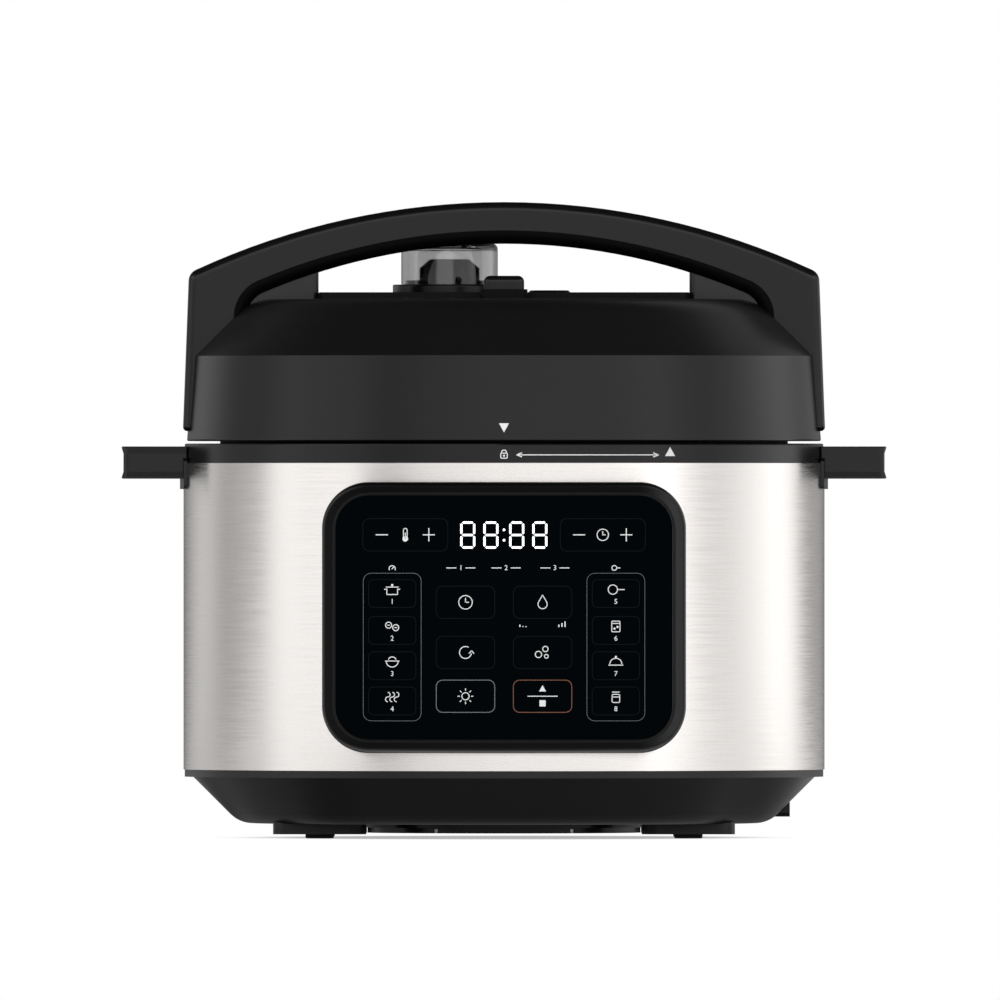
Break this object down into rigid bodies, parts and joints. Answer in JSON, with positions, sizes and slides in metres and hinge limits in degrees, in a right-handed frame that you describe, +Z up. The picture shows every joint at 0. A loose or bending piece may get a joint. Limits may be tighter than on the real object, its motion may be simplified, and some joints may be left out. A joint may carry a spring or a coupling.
{
  "type": "electric pressure cooker",
  "caption": "Free-standing electric pressure cooker with a brushed steel body, front control panel, twist-lock domed lid with arched handle, see-through steam valve cap and lift-out pot.",
  "frame": {"origin": "on the ground plane under the feet, in the middle of the overall box", "axes": "+Z up, the control panel looks along -Y, +X to the right as seen from the front"},
  "size_m": [0.3696, 0.3146, 0.3072],
  "materials": {
    "base_plastic": "fine grained black moulding",
    "lid_plastic": "satin dark grey moulding",
    "dome_plastic": "smooth black moulding",
    "body_steel": "brushed round the body",
    "pot_steel": "drawn and polished",
    "cast_plate": "cast and turned",
    "foot_rubber": "matt",
    "silicone": "moulded silicone",
    "bezel_black": "polished black",
    "panel_glass_black": "black backed glass",
    "smoked_clear": "smoky see-through moulding",
    "valve_grey": "moulded",
    "zinc_steel": "plated",
    "brass": "turned",
    "board_green": "printed circuit board",
    "component_black": "electronic parts",
    "lead_white": "silicone covered wire"
  },
  "bodies": {
    "base": {"base_shell": "base_plastic", "bottom_cover": "base_plastic", "rubber_feet": "foot_rubber", "cover_screws": "zinc_steel", "steel_band": "body_steel", "top_ring": "base_plastic", "side_handle_left": "base_plastic", "side_handle_right": "base_plastic", "side_handle_screws": "zinc_steel", "outer_pot": "pot_steel", "heating_plate": "cast_plate", "heater_element": "zinc_steel", "plate_spacers": "zinc_steel", "sensor_bracket": "zinc_steel", "sensor_spring": "zinc_steel", "locking_ring": "pot_steel", "panel_bezel": "bezel_black", "panel_glass": "panel_glass_black", "control_board": "board_green", "display_module": "component_black", "power_inlet": "base_plastic", "inlet_pins": "brass", "power_board": "board_green", "board_components": "component_black", "mains_leads": "lead_white", "heater_leads": "lead_white", "ribbon_cable": "lead_white"},
    "sensor": {"temperature_sensor": "cast_plate"},
    "pot": {"inner_pot": "pot_steel"},
    "seal": {"sealing_ring": "silicone"},
    "lid": {"lid_cover": "dome_plastic", "lid_skirt": "lid_plastic", "lid_deck": "dome_plastic", "inner_lid": "pot_steel", "lid_screws": "zinc_steel", "seal_rack": "pot_steel", "handle_shell": "lid_plastic", "handle_liner": "dome_plastic", "handle_tower_left": "valve_grey", "handle_tower_right": "valve_grey", "tower_screws": "zinc_steel", "button_collar": "base_plastic", "vent_pipe": "brass", "vent_nut": "brass", "vent_shield": "pot_steel", "valve_base": "base_plastic", "lever_bracket": "zinc_steel", "lever_pin": "zinc_steel", "button_spring": "zinc_steel", "float_housing": "base_plastic"},
    "cap": {"steam_cap": "smoked_clear"},
    "weight": {"pressure_weight": "valve_grey"},
    "button": {"release_button": "base_plastic"},
    "lever": {"release_lever": "zinc_steel"},
    "lifter": {"lift_pin": "zinc_steel"},
    "float": {"float_valve": "cast_plate", "float_seal": "silicone"}
  },
  "joints": [
    {"name": "pot_lift", "type": "slide", "parent": "base", "child": "pot", "axis": [0, 0, 1], "range_m": [0, 0.17]},
    {"name": "lid_lift", "type": "slide", "parent": "pot", "child": "seal", "axis": [0, 0, 1], "range_m": [0, 0.2]},
    {"name": "lid_twist", "type": "hinge", "parent": "seal", "child": "lid", "pos_m": [0, 0, 0], "axis": [0, 0, 1], "range_deg": [0, 30]},
    {"name": "cap_pull", "type": "slide", "parent": "lid", "child": "cap", "axis": [0, 0, 1], "range_m": [0, 0.04]},
    {"name": "button_press", "type": "slide", "parent": "lid", "child": "button", "axis": [0, 0, -1], "range_m": [0, 0.004], "stiffness_N_per_m": 900, "springref_m": -0.002, "deforming": ["button_spring"]},
    {"name": "lever_tilt", "type": "hinge", "parent": "lid", "child": "lever", "pos_m": [-0.0132, 0.00875, 0.248], "axis": [0.949, 0.3152, 0], "range_deg": [0, 6]},
    {"name": "pin_rise", "type": "slide", "parent": "lid", "child": "lifter", "axis": [0, 0, 1], "range_m": [0, 0.0034]},
    {"name": "weight_lift", "type": "slide", "parent": "lid", "child": "weight", "axis": [0, 0, 1], "range_m": [0, 0.0034]},
    {"name": "float_rise", "type": "slide", "parent": "lid", "child": "float", "axis": [0, 0, 1], "range_m": [0, 0.0035]},
    {"name": "sensor_press", "type": "slide", "parent": "base", "child": "sensor", "axis": [0, 0, -1], "range_m": [0, 0.003], "stiffness_N_per_m": 800, "springref_m": -0.003, "deforming": ["sensor_spring"]}
  ],
  "couplings": [
    {"joint": "lever_tilt", "follows": "button_press", "rad_per_m": 23.875},
    {"joint": "pin_rise", "follows": "button_press", "ratio": 0.74931},
    {"joint": "weight_lift", "follows": "button_press", "ratio": 0.74931}
  ]
}
